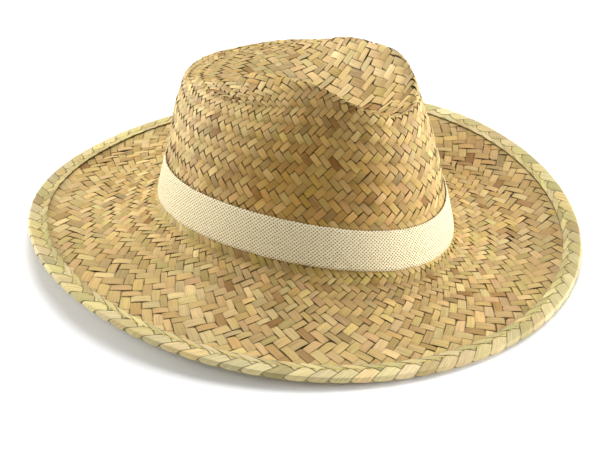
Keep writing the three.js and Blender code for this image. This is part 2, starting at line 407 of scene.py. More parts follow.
# Brim strips: two sets that leave the foot of the crown at 45 degrees to either side, in lanes
# of uneven width; most of those next to the ribbon are greener
BRIM_STRIPS = 120
LANE_SPREAD = 0.11
LANE_LIMITS = (0.7, 1.35)
EDGE_TRIM = 0.6
GREEN_FROM = 0.84
GREEN_FADE = 0.1
GREEN_CHANCE = 0.7

# Worn spots where the strips have drawn apart: share of the way in from the edge, turn round
OPEN_SPOTS = np.array([
    (0.52, 0.24),
    (0.54, 0.225),
    (0.42, 0.205),
    (0.36, 0.17),
    (0.355, 0.14),
    (0.48, 0.108),
    (0.36, 0.10),
])
OPEN_SHARE = 0.42
OPEN_REACH = 0.0035
brim_cloth = fabric(0.0, SEAM_PLACE)
brim_crossings = crossings_along(brim_cloth, BRIM_STRIPS)
shares_along = np.linspace(0, 1, ALONG_POINTS)
brim_reach = 2 * brim_crossings[-1]
open_points = on_fabric(brim_cloth, *OPEN_SPOTS.T)[0]


def uneven_lanes():
    """Edges of the lanes round the whole brim, in even lane widths."""
    widths = np.clip(dice.normal(1, LANE_SPREAD, BRIM_STRIPS), *LANE_LIMITS)
    return np.concatenate(([0], np.cumsum(widths))) * BRIM_STRIPS / widths.sum()


def lane_number(lanes, position):
    """Number of the lane at a position round the brim: whole in the middle of each lane."""
    turns = np.floor(position / BRIM_STRIPS)
    numbers = np.arange(BRIM_STRIPS + 1) - 0.5
    return np.interp(position - turns * BRIM_STRIPS, lanes, numbers) + turns * BRIM_STRIPS


def brim_strip(strips, number, slant, lanes, crossed_lanes):
    """One strip of the brim in its lane, from the edge in to the seam under the ribbon."""
    place = np.arange(EDGE_TRIM, brim_reach, 1 / STEPS_PER_CROSSING)
    along = np.interp(place / 2, brim_crossings, shares_along)
    middle = (lanes[number] + lanes[number + 1]) / 2
    sway = strip_sway(place)

    def line(position):
        return on_fabric(brim_cloth, along, (position + sway - slant * place / 2) / BRIM_STRIPS)

    crossing = slant * (number - lane_number(crossed_lanes, middle + sway - slant * place))
    near_ribbon = np.clip((along - GREEN_FROM) / GREEN_FADE, 0, 1)[:, None]
    greener = near_ribbon * (dice.uniform() < GREEN_CHANCE)
    edges = (line(lanes[number])[0], line(lanes[number + 1])[0])
    apart = np.linalg.norm(line(middle)[0][:, None] - open_points, axis=-1).min(axis=1)
    fill = strip_fill() * (1 - OPEN_SHARE * np.exp(-(apart / OPEN_REACH) ** 2))
    add_strip(strips, edges, line(middle), crossing, twill(slant), fill, greener)


brim_sets = (StripSet("brim_strips_left"), StripSet("brim_strips_right"))
brim_lanes = (uneven_lanes(), uneven_lanes())
for side, slant in enumerate((1, -1)):
    for number in range(BRIM_STRIPS):
        brim_strip(brim_sets[side], number, slant, brim_lanes[side], brim_lanes[1 - side])

# Crown strips: a square mat over the top whose strips run on down the wall; its sides face the
# diagonals of the hat, and the rows of the twill close round it in squares
CROWN_STRIPS = 88
QUARTER = CROWN_STRIPS / 4
MAT_RADIUS = 0.075
MAT_EASE = 0.10
MAT_TURN = -52 / 360
crown_cloth = fabric(SEAM_PLACE, TOP_PLACE)
crown_length = lengths_along(crown_cloth).mean()
crown_crossings = crossings_along(crown_cloth, CROWN_STRIPS)
wall_crossings = np.interp(1 - MAT_RADIUS / crown_length, shares_along, crown_crossings)

# Radius of each ring of the crown in a flat plan of the mat, where the mat's rim has radius 1
crown_radius = np.exp((wall_crossings - crown_crossings) * 2 * np.pi / CROWN_STRIPS)


def mat_corner_angle(place, bend):
    """Turn round the hat of a place along the mat's rim, bent as its side is or spaced evenly."""
    quarter = np.round(place / QUARTER)
    local = (place - quarter * QUARTER) / (QUARTER / 2)
    bent = np.arcsin(np.clip(local, -1, 1) / math.sqrt(2))
    even = local * np.pi / 4
    return (quarter * np.pi / 2 + bent * bend + even * (1 - bend)) / (2 * np.pi)


def crown_line(lane, step, quarter):
    """Points and normals of a line of the mat: lane is its distance from the middle line."""
    reach = QUARTER - lane
    depth = np.maximum(np.abs(step) - reach, 0) / 2
    inside = np.clip(step, -reach, reach)

    # The square mat is drawn out to a round one
    u = (lane + inside) / QUARTER
    v = (lane - inside) / QUARTER
    x = u * np.sqrt(np.maximum(1 - v * v / 2, 0))
    y = v * np.sqrt(np.maximum(1 - u * u / 2, 0))
    mat = np.hypot(x, y)
    radius = mat * (1 + MAT_EASE * (1 - mat * mat))
    turn = np.arctan2(x, y) / (2 * np.pi)

    # Past its rim the line runs on down the wall
    wall = depth > 0
    edge = np.where(step > 0, QUARTER + QUARTER / 2 - lane + depth, lane - QUARTER / 2 - depth)
    fade = np.clip(1 - depth / wall_crossings, 0, 1)
    turn = np.where(wall, mat_corner_angle(edge, fade), turn)
    radius = np.where(wall, np.exp(depth * 2 * np.pi / CROWN_STRIPS), radius)
    along = np.interp(-radius, -crown_radius, shares_along)
    return on_fabric(crown_cloth, along, turn + quarter / 4 + MAT_TURN)


def crown_strip(strips, lane, quarter):
    """One strip across the mat and down the wall at both of its ends."""
    steps = (QUARTER - lane + 2 * wall_crossings) * STEPS_PER_CROSSING
    step = np.arange(-math.floor(steps), steps) / STEPS_PER_CROSSING

    def over(crossing):
        middle = crossing + 0.5
        row = QUARTER - lane - np.abs(middle)
        return np.where(np.mod(np.round(row), 4) < 2, 1, -1) * np.sign(middle)

    sway = strip_sway(step)
    edges = [crown_line(lane + sway + offset, step, quarter)[0] for offset in (-0.5, 0.5)]
    add_strip(strips, edges, crown_line(lane + sway, step, quarter), step - 0.5, over, strip_fill())


crown_sets = (StripSet("crown_strips_fore_aft"), StripSet("crown_strips_sideways"))
for quarter in range(4):
    for lane in np.arange(0.5, QUARTER):
        crown_strip(crown_sets[quarter % 2], lane, quarter)


def new_object(name, data):
    """New object in the scene, at the origin."""
    made = bpy.data.objects.new(name, data)
    bpy.context.scene.collection.objects.link(made)
    return made


def add_node(tree, kind, inputs=None, **settings):
    """New node of a tree, with its own settings and the values of its inputs."""
    node = tree.nodes.new(kind)
    for name, value in settings.items():
        setattr(node, name, value)
    for socket, value in (inputs or {}).items():
        node.inputs[socket].default_value = value
    return node


def link_nodes(tree, *pairs):
    """Links each pair of an output and an input."""
    for source, target in pairs:
        tree.links.new(source, target)


def chain_nodes(tree, *nodes):
    """Links the first output of each node to the first input of the next one."""
    link_nodes(tree, *((before.outputs[0], after.inputs[0]) for before, after in zip(nodes, nodes[1:])))


def geometry_tree(name, inputs, output):
    """New geometry node tree with its named inputs and output, and the nodes that hold them."""
    tree = bpy.data.node_groups.new(name, "GeometryNodeTree")
    for label, kind in inputs.items():
        tree.interface.new_socket(label, in_out="INPUT", socket_type=kind)
    tree.interface.new_socket(output, in_out="OUTPUT", socket_type="NodeSocketGeometry")
    return tree, tree.nodes.new("NodeGroupInput"), tree.nodes.new("NodeGroupOutput")


# Section of a strip: a ring of points drawn out toward a box
STRIP_SIDES = 8
STRIP_BOXINESS = 0.6

# Past this distance from the middle of the fabric a strip is drawn in, so that it bends with it
SETTLE_FROM = 0.0008
SETTLE_SHARE = 0.3


def strip_tree():
    """Node tree that turns centre lines into flat strips with a slightly rounded face."""
    tree, given, result = geometry_tree("flat_strips", {
        "Centre Lines": "NodeSocketGeometry",
        "Flatness": "NodeSocketFloat",
        "Fabric": "NodeSocketObject",
        "Material": "NodeSocketMaterial",
    }, "Strips")

    where = add_node(tree, "GeometryNodeInputPosition")
    ring = add_node(tree, "GeometryNodeCurvePrimitiveCircle", {"Resolution": STRIP_SIDES, "Radius": 1.0})
    squared = add_node(tree, "ShaderNodeVectorMath", operation="MULTIPLY")
    bend = {1: (-STRIP_BOXINESS,) * 3, 2: (1 + STRIP_BOXINESS,) * 3}
    bent = add_node(tree, "ShaderNodeVectorMath", bend, operation="MULTIPLY_ADD")
    boxy = add_node(tree, "ShaderNodeVectorMath", operation="MULTIPLY")
    sized = add_node(tree, "ShaderNodeVectorMath", operation="MULTIPLY")
    flatness = add_node(tree, "ShaderNodeCombineXYZ", {"Y": 1.0})
    section = add_node(tree, "GeometryNodeSetPosition")
    across = add_node(tree, "GeometryNodeStoreNamedAttribute", {"Name": "across"})
    across_parts = add_node(tree, "ShaderNodeSeparateXYZ")
    chain_nodes(tree, ring, section, across)
    chain_nodes(tree, where, squared, bent)
    chain_nodes(tree, where, boxy, sized)
    chain_nodes(tree, where, across_parts)
    link_nodes(
        tree,
        (where.outputs[0], squared.inputs[1]),
        (bent.outputs[0], boxy.inputs[1]),
        (given.outputs["Flatness"], flatness.inputs["X"]),
        (flatness.outputs[0], sized.inputs[1]),
        (sized.outputs[0], section.inputs["Position"]),
        (across_parts.outputs["Y"], across.inputs["Value"]),
    )

    fabric_mesh = add_node(tree, "GeometryNodeObjectInfo")
    nearest = add_node(tree, "GeometryNodeProximity")
    settle = {1: SETTLE_SHARE, 2: SETTLE_FROM * (1 - SETTLE_SHARE)}
    drawn_in = add_node(tree, "ShaderNodeMath", settle, operation="MULTIPLY_ADD")
    limit = add_node(tree, "ShaderNodeMath", operation="MINIMUM")
    share = add_node(tree, "ShaderNodeMath", operation="DIVIDE")
    stand_off = add_node(tree, "ShaderNodeVectorMath", operation="SUBTRACT")
    shortened = add_node(tree, "ShaderNodeVectorMath", operation="SCALE")
    at_place = add_node(tree, "ShaderNodeVectorMath", operation="ADD")
    settled = add_node(tree, "GeometryNodeSetPosition")
    link_nodes(
        tree,
        (given.outputs["Fabric"], fabric_mesh.inputs["Object"]),
        (fabric_mesh.outputs["Geometry"], nearest.inputs[0]),
        (nearest.outputs["Distance"], drawn_in.inputs[0]),
        (nearest.outputs["Distance"], limit.inputs[0]),
        (drawn_in.outputs[0], limit.inputs[1]),
        (limit.outputs[0], share.inputs[0]),
        (nearest.outputs["Distance"], share.inputs[1]),
        (where.outputs[0], stand_off.inputs[0]),
        (nearest.outputs["Position"], stand_off.inputs[1]),
        (stand_off.outputs[0], shortened.inputs[0]),
        (share.outputs[0], shortened.inputs["Scale"]),
        (nearest.outputs["Position"], at_place.inputs[0]),
        (shortened.outputs[0], at_place.inputs[1]),
        (at_place.outputs[0], settled.inputs["Position"]),
    )

    curves = add_node(tree, "GeometryNodeMeshToCurve")
    lie = add_node(tree, "GeometryNodeInputNamedAttribute", {"Name": "lie"}, data_type="FLOAT_VECTOR")
    turned = add_node(tree, "GeometryNodeSetCurveNormal", mode="FREE")
    half_width = add_node(tree, "GeometryNodeInputNamedAttribute", {"Name": "half_width"}, data_type="FLOAT")
    swept = add_node(tree, "GeometryNodeCurveToMesh", {"Fill Caps": True})
    smooth = add_node(tree, "GeometryNodeSetShadeSmooth")
    real = add_node(tree, "GeometryNodeRealizeInstances")
    finish = add_node(tree, "GeometryNodeSetMaterial")
    chain_nodes(tree, given, curves, turned, swept, settled, smooth, real, finish, result)
    link_nodes(
        tree,
        (lie.outputs["Attribute"], turned.inputs["Normal"]),
        (across.outputs[0], swept.inputs["Profile Curve"]),
        (half_width.outputs["Attribute"], swept.inputs["Scale"]),
        (given.outputs["Material"], finish.inputs["Material"]),
    )
    return tree


def made_by_nodes(name, base, tree, inputs):
    """Runs a node tree on a mesh once and keeps the result as a plain mesh object."""
    piece = new_object(name, base)
    modifier = piece.modifiers.new(tree.name, "NODES")
    modifier.node_group = tree
    sockets = {item.name: item.identifier for item in tree.interface.items_tree if item.in_out == "INPUT"}
    for label, value in inputs.items():
        modifier[sockets[label]] = value
    result = piece.evaluated_get(bpy.context.evaluated_depsgraph_get())
    mesh = bpy.data.meshes.new_from_object(result)
    piece.modifiers.remove(modifier)
    mesh.name = name
    piece.data = mesh
    bpy.data.meshes.remove(base)
    return piece


def grid_faces(rows, columns):
    """Corners of the faces of a grid of points, which are numbered row by row."""
    corner = np.arange(rows * columns).reshape(rows, columns)
    faces = np.stack((corner[:-1, :-1], corner[:-1, 1:], corner[1:, 1:], corner[1:, :-1]), axis=-1)
    return faces.reshape(-1, 4)


def fabric_object(cloth):
    """Object of plain faces along the middle of the fabric."""
    points = cloth[::2, ::2, :3]
    mesh = bpy.data.meshes.new("fabric")
    mesh.from_pydata(points.reshape(-1, 3), [], grid_faces(*points.shape[:2]).tolist())
    return new_object("fabric", mesh)


def new_material(name):
    """New material, its node tree and its shader."""
    material = bpy.data.materials.new(name)
    material.use_nodes = True
    return material, material.node_tree, material.node_tree.nodes["Principled BSDF"]


# Painted shade on the straw: darker toward each strip's edges for the shadow in the gaps between
# strips, and darker where a strip dives under another for the shadow there
EDGE_FROM = 0.80
EDGE_FULL = 0.98
EDGE_PAINTED_SHADE = 0.62
END_HEIGHT = 0.28
END_PAINTED_SHADE = 0.15

# Fibres of a leaf: how close they lie, how dark and how pale they are and how far they stand up
FIBRES_ALONG = 55.0
FIBRES_ACROSS = 5.0
FIBRE_NOISE = {"Scale": 1.0, "Detail": 3.0, "Roughness": 0.6}
FIBRE_SHADES = {"From Min": 0.3, "From Max": 0.7, "To Min": 0.74, "To Max": 1.16}
FIBRE_RELIEF = {"Strength": 0.35, "Distance": 0.0002}
STRAW_ROUGHNESS = 0.55
STRAW_SPECULAR = 0.15


def straw_material(name, roughness, edge_from, edge_painted_darkness):
    """Straw leaf: each strip's own colour, darker fibres along it, painted shade at its edges and where it
    dives under, and a fine ribbed sheen.
    """
    material, tree, shader = new_material(name)
    colour, along, across, height = (
        add_node(tree, "ShaderNodeAttribute", attribute_name=label)
        for label in ("straw_colour", "along", "across", "height")
    )
    lengthways = add_node(tree, "ShaderNodeMath", {1: FIBRES_ALONG}, operation="MULTIPLY")
    sideways = add_node(tree, "ShaderNodeMath", {1: FIBRES_ACROSS}, operation="MULTIPLY")
    leaf = add_node(tree, "ShaderNodeCombineXYZ")
    fibres = add_node(tree, "ShaderNodeTexNoise", FIBRE_NOISE)
    streak = add_node(tree, "ShaderNodeMapRange", FIBRE_SHADES)
    # Painted shade: darker toward each strip's edges, for the shadow in the gaps between strips
    edge = add_node(tree, "ShaderNodeMath", operation="ABSOLUTE")
    edge_range = {"From Min": edge_from, "From Max": EDGE_FULL, "To Min": 1.0, "To Max": edge_painted_darkness}
    edge_painted_shade = add_node(tree, "ShaderNodeMapRange", edge_range)
    # Painted shade: darker where the strip sinks under the strip it crosses
    end_range = {"From Min": 0.0, "From Max": END_HEIGHT, "To Min": END_PAINTED_SHADE, "To Max": 1.0}
    end_painted_shade = add_node(tree, "ShaderNodeMapRange", end_range)
    painted_shades = add_node(tree, "ShaderNodeMath", operation="MULTIPLY")
    streak_in_painted_shade = add_node(tree, "ShaderNodeMath", operation="MULTIPLY")
    tinted = add_node(tree, "ShaderNodeVectorMath", operation="SCALE")
    ribs = add_node(tree, "ShaderNodeBump", FIBRE_RELIEF)
    shader.inputs["Roughness"].default_value = roughness
    shader.inputs["Specular IOR Level"].default_value = STRAW_SPECULAR
    link_nodes(
        tree,
        (along.outputs["Fac"], lengthways.inputs[0]),
        (across.outputs["Fac"], sideways.inputs[0]),
        (lengthways.outputs[0], leaf.inputs["X"]),
        (sideways.outputs[0], leaf.inputs["Y"]),
        (leaf.outputs[0], fibres.inputs["Vector"]),
        (fibres.outputs["Fac"], streak.inputs["Value"]),
        (across.outputs["Fac"], edge.inputs[0]),
        (edge.outputs[0], edge_painted_shade.inputs["Value"]),
        (height.outputs["Fac"], end_painted_shade.inputs["Value"]),
        (edge_painted_shade.outputs[0], painted_shades.inputs[0]),
        (end_painted_shade.outputs[0], painted_shades.inputs[1]),
        (painted_shades.outputs[0], streak_in_painted_shade.inputs[0]),
        (streak.outputs[0], streak_in_painted_shade.inputs[1]),
        (colour.outputs["Color"], tinted.inputs[0]),
        (streak_in_painted_shade.outputs[0], tinted.inputs["Scale"]),
        (tinted.outputs[0], shader.inputs["Base Color"]),
        (fibres.outputs["Fac"], ribs.inputs["Height"]),
        (ribs.outputs[0], shader.inputs["Normal"]),
    )
    return material


STRIP_EDGE_ANGLE = 30 * DEGREE
flat_strips = strip_tree()
straw = straw_material("straw", STRAW_ROUGHNESS, EDGE_FROM, EDGE_PAINTED_SHADE)
for strip_sets, cloth in ((brim_sets, brim_cloth), (crown_sets, crown_cloth)):
    surface = fabric_object(cloth)
    for strips in strip_sets:
        inputs = {"Flatness": STRIP_FLATNESS, "Fabric": surface, "Material": straw}
        piece = made_by_nodes(strips.name, strips.mesh(), flat_strips, inputs)
        piece.data.set_sharp_from_angle(angle=STRIP_EDGE_ANGLE)
        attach(piece, "root")
        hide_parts("woven_body")
    surface_mesh = surface.data
    bpy.data.objects.remove(surface)
    bpy.data.meshes.remove(surface_mesh)

# Hat band: a cream ribbon with a fine spotted weave, drawn tight round the foot of the crown
# just above the brim; its edges pucker a little.
BAND_WIDTH = 0.0254
BAND_LIFT = 0.0035
BAND_OUTSIDE = 0.0013
RIBBON_THICKNESS = 0.0007
BAND_COLUMNS = 480
BAND_ROWS = 15
PUCKER = 0.00022
PUCKER_WAVES = ((17, 0.3), (29, 2.1), (43, 4.0))
EDGE_PULL = 1.2
EDGE_WANDER = 0.0003


def ribbon_grid():
    """Outer face of the ribbon: its rows of points, and the share of its width at each row."""
    turn = np.arange(BAND_COLUMNS) * 2 * np.pi / BAND_COLUMNS
    share = np.linspace(0, 1, BAND_ROWS)
    wave = sum(np.sin(count * turn + start) for count, start in PUCKER_WAVES) / len(PUCKER_WAVES)
    rows = []
    for part in share:
        edge = (2 * part - 1) ** 4
        outward = BAND_OUTSIDE - PUCKER * (EDGE_PULL * edge - wave * edge)
        distance = BAND_LIFT + part * BAND_WIDTH + EDGE_WANDER * wave * (part - 0.5)
        rows.append(foot_point(turn, distance, outward))
    return np.stack(rows), share


def loop_sheet(name, rows, share, length):
    """Closed band of faces through rows of points, with a UV map in metres along and across."""
    count, columns = rows.shape[:2]
    row, column = np.divmod(grid_faces(count, columns + 1), columns + 1)
    faces = row * columns + column % columns
    corners = np.stack((column / columns * length, share[row]), axis=-1)
    mesh = bpy.data.meshes.new(name)
    mesh.from_pydata(rows.reshape(-1, 3), [], faces.tolist())
    uv = mesh.uv_layers.new(name="ribbon")
    uv.data.foreach_set("uv", corners.ravel())
    mesh.shade_smooth()
    return new_object(name, mesh)


# Weave of the ribbon: how far apart its holes are, how deep beside the unevenness of its
# threads, and the tones from the bottom of a hole, painted dark as shade, to the threads
HOLE_COLUMNS = 0.0012
HOLE_ROWS = 0.0011
HOLE_DEPTH = 0.3
THREAD_NOISE = {"Scale": 900.0, "Detail": 2.0}
RIBBON_TONES = ((0.12, (0.20, 0.15, 0.07, 1)), (0.38, (0.90, 0.79, 0.53, 1)))
RIBBON_RELIEF = {"Strength": 0.5, "Distance": 0.0003}
RIBBON_ROUGHNESS = 0.9
RIBBON_SPECULAR = 0.2


def ribbon_material():
    """Cream ribbon of coarse threads, with a small hole painted dark as shade wherever two pairs of them
    cross.
    """
    material, tree, shader = new_material("cream_ribbon")
    cloth = add_node(tree, "ShaderNodeUVMap", uv_map="ribbon")
    parts = add_node(tree, "ShaderNodeSeparateXYZ")
    chain_nodes(tree, cloth, parts)
    spots = []
    for sign in (1, -1):
        slope = {1: sign * HOLE_COLUMNS / HOLE_ROWS}
        slanted = add_node(tree, "ShaderNodeMath", slope, operation="MULTIPLY_ADD")
        turned = add_node(tree, "ShaderNodeMath", {1: math.pi / HOLE_COLUMNS}, operation="MULTIPLY")
        wave = add_node(tree, "ShaderNodeMath", operation="COSINE")
        link_nodes(tree, (parts.outputs["Y"], slanted.inputs[0]), (parts.outputs["X"], slanted.inputs[2]))
        chain_nodes(tree, slanted, turned, wave)
        spots.append(wave)
    both = add_node(tree, "ShaderNodeMath", operation="ADD")
    uneven = add_node(tree, "ShaderNodeTexNoise", THREAD_NOISE)
    height = add_node(tree, "ShaderNodeMath", {1: HOLE_DEPTH}, operation="MULTIPLY_ADD")
    # The tone runs from painted shade at the bottom of each hole to the cream of the threads
    tone = add_node(tree, "ShaderNodeValToRGB")
    for element, (place, colour) in zip(tone.color_ramp.elements, RIBBON_TONES):
        element.position = place
        element.color = colour
    bump = add_node(tree, "ShaderNodeBump", RIBBON_RELIEF)
    shader.inputs["Roughness"].default_value = RIBBON_ROUGHNESS
    shader.inputs["Specular IOR Level"].default_value = RIBBON_SPECULAR
    link_nodes(
        tree,
        (spots[0].outputs[0], both.inputs[0]),
        (spots[1].outputs[0], both.inputs[1]),
        (cloth.outputs[0], uneven.inputs["Vector"]),
        (both.outputs[0], height.inputs[0]),
        (uneven.outputs["Fac"], height.inputs[2]),
        (height.outputs[0], tone.inputs["Fac"]),
        (tone.outputs["Color"], shader.inputs["Base Color"]),
        (height.outputs[0], bump.inputs["Height"]),
        (bump.outputs[0], shader.inputs["Normal"]),
    )
    return material


ribbon_rows, ribbon_share = ribbon_grid()
ribbon_middle = ribbon_rows[BAND_ROWS // 2]
ribbon_length = line_lengths(np.vstack((ribbon_middle, ribbon_middle[:1]))[None])[0, -1]
hat_band = loop_sheet("ribbon_band", ribbon_rows, ribbon_share * BAND_WIDTH, ribbon_length)
hat_band.data.materials.append(ribbon_material())
thickness = hat_band.modifiers.new("ribbon_thickness", "SOLIDIFY")
thickness.thickness = RIBBON_THICKNESS
thickness.offset = -1
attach(hat_band, "root")
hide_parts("hat_band")

# Edge binding: a flat braid of wide pale straw, folded over the brim edge so that one row of
# its slanting strips wraps the edge, and sewn down along the groove beside that row.
BRAID_STRIPS = 90
BRAID_SLANT = 47 * DEGREE
BRAID_LIFT = 0.00022
BRAID_TILT = 0.00008
BRAID_LEAF = 0.00036
BRAID_FILL = 0.985
BRAID_ROUGHNESS = 0.5
# Painted shade along the edges of the braid's strips, stronger than on the woven straw, for the shadow lines
# between them
BRAID_EDGE_FROM = 0.88
BRAID_EDGE_PAINTED_SHADE = 0.5
UPPER_LEG = 0.0105
LOWER_LEG = 0.011
BRAID_ABOVE = 0.0008
BRAID_BELOW = -0.0026
FOLD_REACH = 0.0009
FOLD_HEIGHT = (BRAID_ABOVE - BRAID_BELOW) / 2
FOLD_LENGTH = math.pi * math.sqrt((FOLD_REACH ** 2 + FOLD_HEIGHT ** 2) / 2)
BRAID_WIDTH = UPPER_LEG + FOLD_LENGTH + LOWER_LEG
BRAID_SPACING = math.pi * (BRIM_HALF_LENGTH + BRIM_HALF_WIDTH) / BRAID_STRIPS
BRAID_CROSSING = BRAID_SPACING / (2 * math.tan(BRAID_SLANT))
EDGE_ROW_MIDDLE = 0.0096
GROOVE = EDGE_ROW_MIDDLE - BRAID_CROSSING
INNER_CROSSING = 0.0020
BRAID_STEPS = 41
LEAF_OFFSETS = np.array((-0.5, -0.42, -0.15, 0.15, 0.42, 0.5)) * BRAID_FILL
LEAF_EDGE_DROP = np.array((0.4, 0.05, 0, 0, 0.05, 0.4)) * BRAID_LEAF

# Braid straw: red, green, blue and share of each colour of strip, pale gold to green
BRAID_STRAW = np.array([
    (0.59, 0.485, 0.215, 0.35),
    (0.64, 0.53, 0.28, 0.30),
    (0.53, 0.46, 0.19, 0.20),
    (0.59, 0.45, 0.195, 0.15),
])

# Share of the way in from the brim's edge that shows which way the edge faces
JUST_INSIDE = 0.03
brim_lengths = lengths_along(brim_cloth)
brim_turns = np.linspace(0, 1, ROUND_POINTS)


def braid_line(across, turn):
    """Points and normals of the folded braid, from its upper inner edge over the brim's edge."""
    fold = np.clip((across - UPPER_LEG) / FOLD_LENGTH, 0, 1) * np.pi
    leg = np.maximum(UPPER_LEG - across, 0) + np.maximum(across - UPPER_LEG - FOLD_LENGTH, 0)
    length = np.interp(np.mod(turn, 1), brim_turns, brim_lengths)
    point, up = on_fabric(brim_cloth, leg / length, turn)
    edge, _ = on_fabric(brim_cloth, 0 * turn, turn)
    inside, _ = on_fabric(brim_cloth, 0 * turn + JUST_INSIDE, turn)
    outward = unit(edge - inside)
    above = WALL / 2 + BRAID_BELOW + FOLD_HEIGHT * (1 + np.cos(fold))
    point = point + outward * (FOLD_REACH * np.sin(fold))[..., None] + up * above[..., None]
    lie = up * (np.cos(fold) * FOLD_REACH)[..., None] + outward * (np.sin(fold) * FOLD_HEIGHT)[..., None]
    return point, unit(lie)


def braid_leaf(number, slant):
    """One strip of the braid: its upper and lower face, colours, lengthways places and lift."""
    start = -0.5 - GROOVE / INNER_CROSSING
    end = (BRAID_WIDTH - GROOVE) / BRAID_CROSSING - 0.5
    place = np.linspace(start, end, BRAID_STEPS)[:, None] + 0 * LEAF_OFFSETS
    across = GROOVE + (place + 0.5) * np.where(place < -0.5, INNER_CROSSING, BRAID_CROSSING)
    point, lie = braid_line(across, (number + LEAF_OFFSETS - slant * place / 2) / BRAID_STRIPS)
    over = twill(slant)
    lift = weave_lift(place - slant * LEAF_OFFSETS, over)
    colours, _, raised = straw_run(place[:, 0], over, BRAID_STRAW, 0.0)
    height = (BRAID_LIFT * lift + BRAID_TILT * slant * LEAF_OFFSETS * 2) * raised[:, None]
    upper = point + lie * (height - LEAF_EDGE_DROP + BRAID_LEAF / 2)[..., None]
    lower = point + lie * (height - BRAID_LEAF / 2)[..., None]
    along = (across / math.cos(BRAID_SLANT) + dice.uniform(0, GRAIN_STARTS))[:, 0]
    return upper, lower, colours, along, lift


def leaf_sheets(name, leaves):
    """One mesh of closed flat sheets, all with the same grid of points."""
    rows, columns = leaves[0][0].shape[:2]
    size = rows * columns
    upper = grid_faces(rows, columns)
    corner = np.arange(size).reshape(rows, columns)
    rim = np.concatenate((corner[0, :-1], corner[:-1, -1], corner[-1, :0:-1], corner[:0:-1, 0]))
    after = np.roll(rim, -1)
    sides = np.stack((rim, rim + size, after + size, after), axis=-1)
    sheet = np.concatenate((upper, upper[:, ::-1] + size, sides))
    faces = np.concatenate([sheet + 2 * size * number for number in range(len(leaves))])
    points = []
    values = {"straw_colour": [], "along": [], "across": [], "height": []}
    for upper_face, lower_face, colours, along, lift in leaves:
        points += [upper_face.reshape(-1, 3), lower_face.reshape(-1, 3)]
        values["straw_colour"] += [np.repeat(colours, columns, axis=0)] * 2
        values["along"] += [np.repeat(along, columns)] * 2
        values["across"] += [np.tile(LEAF_OFFSETS * 2, rows)] * 2
        values["height"] += [lift.ravel()] * 2
    mesh = bpy.data.meshes.new(name)
    mesh.from_pydata(np.concatenate(points), [], faces.tolist())
    for label, parts in values.items():
        kind = "FLOAT_COLOR" if label == "straw_colour" else "FLOAT"
        store_values(mesh, label, kind, np.concatenate(parts))
    mesh.shade_smooth()
    mesh.set_sharp_from_angle(angle=STRIP_EDGE_ANGLE)
    return new_object(name, mesh)


braid_leaves = [braid_leaf(number, slant) for slant in (1, -1) for number in range(BRAID_STRIPS)]
edge_braid = leaf_sheets("edge_braid", braid_leaves)
braid_straw = straw_material("braid_straw", BRAID_ROUGHNESS, BRAID_EDGE_FROM, BRAID_EDGE_PAINTED_SHADE)
edge_braid.data.materials.append(braid_straw)
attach(edge_braid, "root")
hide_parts("edge_binding")

# Stitches: straw-yellow sewing thread that goes through the braid and the brim and holds the
# braid on, seen as one line of short arches in the groove above and one line below.
STITCH_PITCH = 0.0066
STITCH_LENGTH = 0.0056
STITCH_RADIUS = 0.00028
STITCH_ARCH = 0.00045
STITCH_SINK = 0.0003
STITCH_JITTER = 0.06
STITCH_WANDER = 0.00018
STITCH_LOOK_AHEAD = 0.0005
STITCH_LINES = (GROOVE, 2 * UPPER_LEG + FOLD_LENGTH - GROOVE)
STITCHES = round(math.pi * (BRIM_HALF_LENGTH + BRIM_HALF_WIDTH) / STITCH_PITCH)
ARCH_POINTS = 6
THREAD_SIDES = 6
THREAD_COLOUR = (0.54, 0.44, 0.10, 1)
THREAD_ROUGHNESS = 0.7


def stitch_points():
    """Mesh of one point for each stitch, with the way it runs and the way up from the braid."""
    turn = (np.arange(STITCHES) + dice.uniform(-STITCH_JITTER, STITCH_JITTER, STITCHES)) / STITCHES
    places = []
    ways = {"ahead": [], "lie": []}
    for across in STITCH_LINES:
        point, lie = braid_line(across + dice.normal(0, STITCH_WANDER, STITCHES), turn)
        next_point, _ = braid_line(np.full(STITCHES, across), turn + STITCH_LOOK_AHEAD)
        places.append(point - lie * STITCH_SINK)
        ways["ahead"].append(unit(next_point - point))
        ways["lie"].append(lie)
    points = bpy.data.meshes.new("stitch_points")
    points.vertices.add(len(STITCH_LINES) * STITCHES)
    points.vertices.foreach_set("co", np.concatenate(places).ravel())
    for label, way in ways.items():
        store_values(points, label, "FLOAT_VECTOR", np.concatenate(way))
    return points


